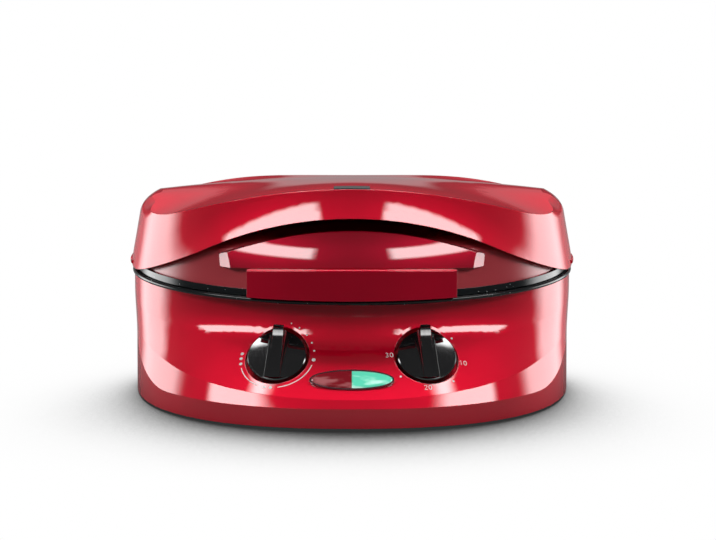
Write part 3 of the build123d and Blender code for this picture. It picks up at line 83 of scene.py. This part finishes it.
class Tree:
    """Short ways to add nodes to a shader tree."""

    def __init__(self, tree):
        self.tree = tree
        tree.nodes.clear()

    def add(self, kind, inputs=None, **settings):
        """Adds a node. An input is a value, or an output of another node to link."""
        node = self.tree.nodes.new(kind)
        for name, value in settings.items():
            setattr(node, name, value)
        for name, value in (inputs or {}).items():
            if isinstance(value, bpy.types.NodeSocket):
                self.tree.links.new(value, node.inputs[name])
            else:
                node.inputs[name].default_value = value
        return node

    def math(self, operation, a, b=0.0):
        return self.add("ShaderNodeMath", {0: a, 1: b}, operation=operation).outputs[0]

    def step(self, value, low, high, to_low=0.0, to_high=1.0):
        """A smooth ramp of value between low and high."""
        inputs = {"Value": value, "From Min": low, "From Max": high, "To Min": to_low, "To Max": to_high}
        return self.add("ShaderNodeMapRange", inputs, interpolation_type="SMOOTHSTEP").outputs["Result"]

    def patch(self, value, span, soft):
        """1 between the two ends of span, with soft edges."""
        low, high = span
        rising = self.step(value, low - soft, low + soft)
        falling = self.step(value, high - soft, high + soft, 1.0, 0.0)
        return self.math("MULTIPLY", rising, falling)

    def place(self):
        return self.add("ShaderNodeTexCoord").outputs["Object"]

    def noise(self, scale, detail=2.0, roughness=0.5, stretch=(1, 1, 1)):
        sized = self.add("ShaderNodeMapping", {"Vector": self.place(), "Scale": stretch})
        inputs = {"Vector": sized.outputs[0], "Scale": scale, "Detail": detail, "Roughness": roughness}
        return self.add("ShaderNodeTexNoise", inputs).outputs["Fac"]

    def mix(self, factor, a, b):
        """A colour between a and b, which are red, green and blue."""
        return self.add("ShaderNodeMix", {0: factor, 6: (*a, 1), 7: (*b, 1)}, data_type="RGBA").outputs[2]

    def rounded(self, radius):
        """The surface's normal, as if its edges were rounded."""
        return self.add("ShaderNodeBevel", {"Radius": radius}, samples=BEVEL_SAMPLES).outputs[0]

    def bump(self, height, distance, strength, normal=None):
        inputs = {"Height": height, "Distance": distance, "Strength": strength}
        if normal is not None:
            inputs["Normal"] = normal
        return self.add("ShaderNodeBump", inputs).outputs["Normal"]

    def surface(self, inputs):
        """The principled shader, joined to the output."""
        shader = self.add("ShaderNodeBsdfPrincipled", inputs)
        self.add("ShaderNodeOutputMaterial", {"Surface": shader.outputs[0]})


def new_material(name):
    """Adds a material under its name and gives its shader tree."""
    material = bpy.data.materials.new(name)
    material.use_nodes = True
    MATERIALS[name] = material
    return Tree(material.node_tree)


# ---- materials -----------------------------------------------------------------------------------

SPARKLE = 0.05  # how much a flake changes the lacquer's roughness
UNEVEN = 0.1  # by what share the roughness of the other surfaces varies
PAINTED_SHADE_LOOK = {"lid_skirt": "red_satin_painted_reflection_and_shade", "front_block": "red_block_painted_shade"}  # their clear coat is less smooth, and their darker red is painted shade from the visor above them, with a painted pink reflection of the floor on the skirt


def red_metallic(name, deep, bright, roughness=0.56, metallic=0.95, coat=0.03, coat_ior=2.2):
    """Metallic red lacquer: fine flakes under a clear coat, whose roughness is coat."""
    tree = new_material(name)
    drift = tree.noise(scale=9.0, detail=3.0)
    flakes = tree.noise(scale=2600.0, detail=1.0, roughness=0.8)
    edge = tree.rounded(radius=0.0006)
    tree.surface({
        "Base Color": tree.mix(tree.step(drift, low=0.35, high=0.65), deep, bright),
        "Metallic": metallic,
        "Roughness": tree.step(
            flakes, low=0.4, high=0.75, to_low=roughness + SPARKLE, to_high=roughness - SPARKLE
        ),
        "Normal": tree.bump(flakes, distance=0.00002, strength=0.4, normal=edge),
        "Specular IOR Level": 0.0,
        "Coat Weight": 1.0,
        "Coat Roughness": coat,
        "Coat IOR": coat_ior,
        "Coat Normal": edge,
    })


def black_enamel(name):
    """Glossy black enamel with fine pale specks."""
    tree = new_material(name)
    cells = tree.add("ShaderNodeTexVoronoi", {"Vector": tree.place(), "Scale": 420.0, "Randomness": 1.0})
    chance = tree.add("ShaderNodeSeparateColor", {0: cells.outputs["Color"]}).outputs[0]
    size = tree.step(chance, low=0.7, high=1.0, to_high=0.2)
    speck = tree.math("LESS_THAN", cells.outputs["Distance"], size)
    edge = tree.rounded(radius=0.0005)
    tree.surface({
        "Base Color": tree.mix(speck, (0.012, 0.015, 0.017), (0.55, 0.58, 0.58)),
        "Roughness": 0.16,
        "Normal": tree.bump(tree.noise(scale=160.0), distance=0.0001, strength=0.3, normal=edge),
        "Coat Weight": 0.6,
        "Coat Roughness": 0.05,
    })


def plain(
    name, colour, roughness, metallic=0.0, grain=400.0, depth=0.00003, variation=0.12, coat=0.0, bevel=0.0004
):
    """A moulded or cast surface with slight changes of tone and a fine grain."""
    tree = new_material(name)
    drift = tree.noise(scale=25.0, detail=4.0)
    darker = [c * (1 - variation) for c in colour]
    tree.surface({
        "Base Color": tree.mix(tree.step(drift, low=0.3, high=0.7), darker, colour),
        "Metallic": metallic,
        "Roughness": tree.step(
            drift, low=0.3, high=0.7, to_low=roughness * (1 - UNEVEN), to_high=roughness * (1 + UNEVEN)
        ),
        "Normal": tree.bump(tree.noise(grain), depth, strength=0.5, normal=tree.rounded(bevel)),
        "Coat Weight": coat,
        "Coat Roughness": 0.04,
        "Coat IOR": 2.5,
    })


def lens(name, colour, pale, strength):
    """Clear coloured plastic with a soft, streaky light behind it."""
    tree = new_material(name)
    streaks = tree.step(tree.noise(scale=55.0, stretch=(1, 1, 4)), low=0.42, high=0.66)
    tone = tree.mix(streaks, colour, pale)
    tree.surface({
        "Base Color": tone,
        "Roughness": 0.05,
        "IOR": 1.5,
        "Coat Weight": 1.0,
        "Coat Roughness": 0.03,
        "Coat IOR": 1.8,
        "Emission Color": tone,
        "Emission Strength": strength,
    })


def clay(name):
    """Baking stone: fine sandy grain, slightly toasted."""
    tree = new_material(name)
    toast = tree.step(tree.noise(scale=14.0, detail=5.0), low=0.45, high=0.75)
    tree.surface({
        "Base Color": tree.mix(toast, (0.56, 0.46, 0.34), (0.40, 0.28, 0.17)),
        "Roughness": 0.85,
        "Normal": tree.bump(tree.noise(scale=900.0, detail=6.0), distance=0.0003, strength=0.6),
    })


def make_looks():
    red_metallic("red_enamel", (0.86, 0.002, 0.033), (0.93, 0.003, 0.039))
    # The lid skirt's copy of the red lacquer has a less smooth coat. Its darker, pinker colour is painted
    # shade under the visor and a painted pink reflection of the floor.
    red_metallic("red_satin_painted_reflection_and_shade", (0.62, 0.045, 0.065), (0.68, 0.055, 0.075), metallic=0.4, coat=0.26)
    # The front block's copy of the red lacquer has a less smooth coat. Its darker red is painted shade from
    # the visor above it.
    red_metallic("red_block_painted_shade", (0.68, 0.003, 0.034), (0.76, 0.004, 0.040), coat=0.12, coat_ior=1.6)
    red_metallic("red_plastic", (0.56, 0.003, 0.028), (0.62, 0.004, 0.034), roughness=0.46, metallic=0.8)
    black_enamel("black_enamel")
    plain("black_gloss", (0.010, 0.010, 0.011), roughness=0.12, coat=1.0, bevel=0.0005)
    plain("black_plastic", (0.02, 0.02, 0.02), roughness=0.45)
    plain("black_rubber", (0.02, 0.02, 0.02), roughness=0.75, grain=900.0)
    plain("white_plastic", (0.75, 0.74, 0.70), roughness=0.45)
    plain("smoke_plastic", (0.10, 0.02, 0.03), roughness=0.12, coat=1.0)
    lens("red_lens", (0.22, 0.004, 0.012), (0.42, 0.12, 0.13), strength=0.3)
    lens("green_lens", (0.10, 0.62, 0.42), (0.50, 0.92, 0.76), strength=0.6)
    plain("lamp_glass", (0.85, 0.80, 0.70), roughness=0.1, coat=1.0)
    clay("stone")
    plain("heater_steel", (0.12, 0.11, 0.10), roughness=0.4, metallic=0.9, variation=0.35)
    plain("grey_steel", (0.30, 0.30, 0.31), roughness=0.5, metallic=0.6)
    plain("plain_steel", (0.55, 0.55, 0.55), roughness=0.35, metallic=1.0)
    plain("zinc_steel", (0.62, 0.63, 0.62), roughness=0.3, metallic=1.0)
    plain("brass", (0.70, 0.50, 0.20), roughness=0.35, metallic=1.0)
    plain("slate_plate", (0.10, 0.115, 0.12), roughness=0.35, metallic=0.4)
    plain("pad", (0.80, 0.78, 0.70), roughness=0.95, grain=500.0, depth=0.0004)
    plain("ink", (0.95, 0.93, 0.93), roughness=0.5, variation=0.03)


def dress_nodes():
    """Gives each CAD node the look of its slot, or, for the lid skirt and the front block, a copy of the red
    lacquer with painted shade.
    """
    for part in frame["record"]["subparts"]:
        slots = NODES[part["node"]].data.materials
        slots.clear()
        slots.append(MATERIALS[PAINTED_SHADE_LOOK.get(part["node"], part["material_slot"])])


# ---- printed scales ------------------------------------------------------------------------------
# Turns are in degrees around a dial, counter-clockwise from its right, as its user sees it.

SCALE_R = 0.0303
ARC_W = 0.0008
DOT_SIDES, ARC_STEPS = 14, 24
INK_LIFT = 0.00012  # the print's height above the shell
RAY_START = 0.03  # above the dial's centre, clear of the shell
GROWING_DOTS = (  # turn, radius
    (73, 0.0005), (59, 0.0006), (43, 0.0007), (28, 0.0008), (13, 0.0009), (-4, 0.0016),
)
HEAT_ARCS = ((-82, -14), (-162, -114))
HEAT_DOTS = (-93, -103, 190, 180, 171)
HEAT_DOT_R = 0.0014
MINUTE_DOTS = (39, -50, -141)
MINUTE_DOT_R = 0.0009
MINUTES = {"10": -8, "20": -95, "30": 175}
DIGIT_H, DIGIT_W, DIGIT_STEP = 0.0042, 0.0024, 0.0036
STROKE_W = 0.00064
DIGITS = {  # strokes in a box one wide and one high
    "0": [
        (0.5, 1), (0.12, 0.85), (0, 0.5), (0.12, 0.15),
        (0.5, 0), (0.88, 0.15), (1, 0.5), (0.88, 0.85), (0.5, 1),
    ],
    "1": [(0.15, 0.75), (0.6, 1), (0.6, 0)],
    "2": [(0, 0.78), (0.25, 1), (0.8, 0.98), (0.95, 0.7), (0, 0), (1, 0)],
    "3": [(0.05, 0.9), (0.5, 1), (0.9, 0.78), (0.45, 0.53), (0.95, 0.25), (0.5, 0), (0, 0.12)],
}


def on_scale(turn):
    """The place on a dial's scale, to the right of and above its centre."""
    return Vector((SCALE_R * cos(radians(turn)), SCALE_R * sin(radians(turn))))


class Print:
    """Flat marks laid on the base shell around a dial, whose centre and axis are those of its joint."""

    def __init__(self, name, dial):
        joint = next(j for j in frame["joints"] if j["name"] == dial)
        self.name = name
        self.centre = Vector(joint["pos_m"])
        self.normal = -Vector(joint["axis"]).normalized()
        self.right = Vector((0, 0, 1)).cross(self.normal).normalized()
        self.up = self.normal.cross(self.right)
        shell = NODES["base_shell"]
        corners = [shell.matrix_world @ v.co for v in shell.data.vertices]
        self.shell = BVHTree.FromPolygons(corners, [tuple(p.vertices) for p in shell.data.polygons])
        self.points, self.faces = [], []

    def lay(self, place):
        """Adds a point on the shell and gives its number."""
        above = self.centre + place.x * self.right + place.y * self.up + RAY_START * self.normal
        hit = self.shell.ray_cast(above, -self.normal)[0]
        self.points.append(hit + INK_LIFT * self.normal)
        return len(self.points) - 1

    def dot(self, turn, radius):
        around = [2 * pi * i / DOT_SIDES for i in range(DOT_SIDES)]
        self.faces.append([self.lay(on_scale(turn) + radius * Vector((cos(a), sin(a)))) for a in around])

    def line(self, places, width):
        """A band along a row of places, with mitred corners."""
        rows = []
        for i, here in enumerate(places):
            before, after = places[max(i - 1, 0)], places[min(i + 1, len(places) - 1)]
            along = ((here - before).normalized() + (after - here).normalized()).normalized()
            across = Vector((-along.y, along.x)) * width / 2
            rows.append((self.lay(here - across), self.lay(here + across)))
        for (a, b), (c, d) in zip(rows, rows[1:]):
            self.faces.append((a, c, d, b))

    def arc(self, first, last):
        turns = [first + (last - first) * i / ARC_STEPS for i in range(ARC_STEPS + 1)]
        self.line([on_scale(turn) for turn in turns], ARC_W)

    def number(self, text, turn):
        """Upright digits, centred on the scale."""
        wide = DIGIT_STEP * (len(text) - 1) + DIGIT_W
        corner = on_scale(turn) - Vector((wide, DIGIT_H)) / 2
        for digit in text:
            self.line([corner + Vector((x * DIGIT_W, y * DIGIT_H)) for x, y in DIGITS[digit]], STROKE_W)
            corner.x += DIGIT_STEP

    def make(self):
        mesh = bpy.data.meshes.new(self.name)
        mesh.from_pydata(self.points, [], self.faces)
        mesh.materials.append(MATERIALS["ink"])
        piece = bpy.data.objects.new(self.name, mesh)
        SCENE.collection.objects.link(piece)
        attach(piece, "base")


def print_heat_scale():
    heat = Print("thermostat_scale", "thermostat_turn")
    for turn, radius in GROWING_DOTS:
        heat.dot(turn, radius)
    for first, last in HEAT_ARCS:
        heat.arc(first, last)
    for turn in HEAT_DOTS:
        heat.dot(turn, HEAT_DOT_R)
    heat.make()


def print_minutes():
    minutes = Print("timer_scale", "timer_turn")
    for turn in MINUTE_DOTS:
        minutes.dot(turn, MINUTE_DOT_R)
    for text, turn in MINUTES.items():
        minutes.number(text, turn)
    minutes.make()


# ---- floor ---------------------------------------------------------------------------------------

FLOOR_R = 0.46  # beyond it the floor and the background are the same white
FLOOR_Y = -0.20  # its centre, towards the camera, because the shadow falls that way
FLOOR_SIDES = 96
FLOOR_MATTE = (0.08, 0.08, 0.08, 1)  # dark, so that it throws little light up at the object
FLOOR_GLOSS = 0.05  # how much of its white mirrors in the lacquer
SHADOW_REACH = 0.30  # metres from the object within which the floor darkens
SHADOW_LEAN = (0.0, 0.80, 0.60)  # the light that the object blocks comes from above and behind
SHADOW_SAMPLES = 24
SHADOW_TONES = (  # openness of the floor's sky, grey it shows
    (0.44, 0.03), (0.54, 0.12), (0.60, 0.30), (0.66, 0.54), (0.73, 0.80), (0.82, 0.97), (0.90, 1.0),
)


def seen_directly(tree):
    """1 for rays from the camera and through glass, 0 for others."""
    rays = tree.add("ShaderNodeLightPath").outputs
    return tree.math("MAXIMUM", rays["Is Camera Ray"], rays["Is Transmission Ray"])


def shadow_white(tree):
    """A white glow, darker where the object hides the sky."""
    lean = tree.add("ShaderNodeCombineXYZ", dict(enumerate(SHADOW_LEAN))).outputs[0]
    inputs = {"Distance": SHADOW_REACH, "Normal": lean}
    open_sky = tree.add("ShaderNodeAmbientOcclusion", inputs, samples=SHADOW_SAMPLES).outputs["AO"]
    ramp = tree.add("ShaderNodeValToRGB", {0: open_sky})
    points = ramp.color_ramp.elements
    while len(points) < len(SHADOW_TONES):
        points.new(0.5)  # the loop below moves it
    for point, (place, grey) in zip(points, SHADOW_TONES):
        point.position, point.color = place, (grey, grey, grey, 1)
    return tree.add("ShaderNodeEmission", {"Color": ramp.outputs[0], "Strength": 1.0}).outputs[0]


def make_floor_look():
    """White with a shadow where it is seen, dark where it only reflects light, and clear from below."""
    tree = new_material("floor")
    mirrored = tree.add("ShaderNodeLightPath").outputs["Is Glossy Ray"]
    share = tree.math("MAXIMUM", seen_directly(tree), tree.math("MULTIPLY", mirrored, FLOOR_GLOSS))
    matte = tree.add("ShaderNodeBsdfDiffuse", {"Color": FLOOR_MATTE}).outputs[0]
    above = tree.add("ShaderNodeMixShader", {0: share, 1: matte, 2: shadow_white(tree)}).outputs[0]
    backs = tree.add("ShaderNodeNewGeometry").outputs["Backfacing"]
    below = tree.add("ShaderNodeBsdfTransparent").outputs[0]
    both = tree.add("ShaderNodeMixShader", {0: backs, 1: above, 2: below}).outputs[0]
    tree.add("ShaderNodeOutputMaterial", {"Surface": both})


def make_floor():
    turns = [2 * pi * i / FLOOR_SIDES for i in range(FLOOR_SIDES)]
    rim = [(FLOOR_R * cos(a), FLOOR_Y + FLOOR_R * sin(a), 0) for a in turns]
    mesh = bpy.data.meshes.new("floor")
    mesh.from_pydata(rim, [], [tuple(range(FLOOR_SIDES))])
    make_floor_look()
    mesh.materials.append(MATERIALS["floor"])
    floor = bpy.data.objects.new("floor", mesh)
    SCENE.collection.objects.link(floor)


# ---- light ---------------------------------------------------------------------------------------


class SoftBox(NamedTuple):
    """A soft-edged patch of light, alike on both sides. Its angles are in degrees."""

    turns: tuple  # 0 is straight ahead of the object and 180 behind it, and an end past 180 has no edge
    rises: tuple  # above the horizon
    soft_turn: float
    soft_rise: float
    level: float


FRONT_CORNERS = SoftBox((22, 88), (23, 37), 3, 2, 4.2)
SIDES = SoftBox((112, 146), (-14, 13), 8, 4, 2.6)
BACK_HIGH = SoftBox((150, 200), (6, 40), 8, 3, 0.15)
BACK_LOW = SoftBox((145, 200), (-14, -1), 6, 1, 0.24)
OVERHEAD_DEPTH, OVERHEAD_DEPTH_SOFT = (-0.08, 0.8), 0.02  # metres to the back, on a ceiling one metre up
OVERHEAD_WIDTH, OVERHEAD_WIDTH_SOFT = (-0.48, 0.48), 0.05
OVERHEAD_LEVEL = 5.2
ROOM_LEVEL = 0.04
LOWEST_UP = 0.05  # keeps places on the ceiling finite near the horizon


def box_light(tree, turn, rise, box):
    wide = tree.patch(turn, [radians(t) for t in box.turns], radians(box.soft_turn))
    high = tree.patch(rise, [radians(r) for r in box.rises], radians(box.soft_rise))
    return tree.math("MULTIPLY", tree.math("MULTIPLY", wide, high), box.level)


def overhead_light(tree, x, y, z):
    up = tree.math("MAXIMUM", z, LOWEST_UP)
    deep = tree.patch(tree.math("DIVIDE", y, up), OVERHEAD_DEPTH, OVERHEAD_DEPTH_SOFT)
    wide = tree.patch(tree.math("DIVIDE", x, up), OVERHEAD_WIDTH, OVERHEAD_WIDTH_SOFT)
    return tree.math("MULTIPLY", tree.math("MULTIPLY", deep, wide), OVERHEAD_LEVEL)


def make_world():
    """A dark studio with soft boxes, which the camera doesn't see, and a white backdrop, which it does."""
    world = bpy.data.worlds.new("world")
    world.use_nodes = True
    SCENE.world = world
    tree = Tree(world.node_tree)
    direction = tree.add("ShaderNodeTexCoord").outputs["Generated"]
    x, y, z = tree.add("ShaderNodeSeparateXYZ", {0: direction}).outputs
    turn = tree.math("ABSOLUTE", tree.math("ARCTAN2", x, tree.math("MULTIPLY", y, -1.0)))
    rise = tree.math("ARCSINE", z)
    level = ROOM_LEVEL
    for box in (FRONT_CORNERS, SIDES, BACK_HIGH, BACK_LOW):
        level = tree.math("ADD", box_light(tree, turn, rise, box), level)
    level = tree.math("ADD", overhead_light(tree, x, y, z), level)
    light = tree.add("ShaderNodeBackground", {"Color": WHITE, "Strength": level}).outputs[0]
    white = tree.add("ShaderNodeBackground", {"Color": WHITE, "Strength": 1.0}).outputs[0]
    shown = tree.add("ShaderNodeMixShader", {0: seen_directly(tree), 1: light, 2: white}).outputs[0]
    tree.add("ShaderNodeOutputWorld", {"Surface": shown})


# ---- scene ---------------------------------------------------------------------------------------

make_looks()
dress_nodes()
print_heat_scale()
print_minutes()
make_camera()
make_floor()
make_world()
SCENE.view_settings.view_transform = "Standard"
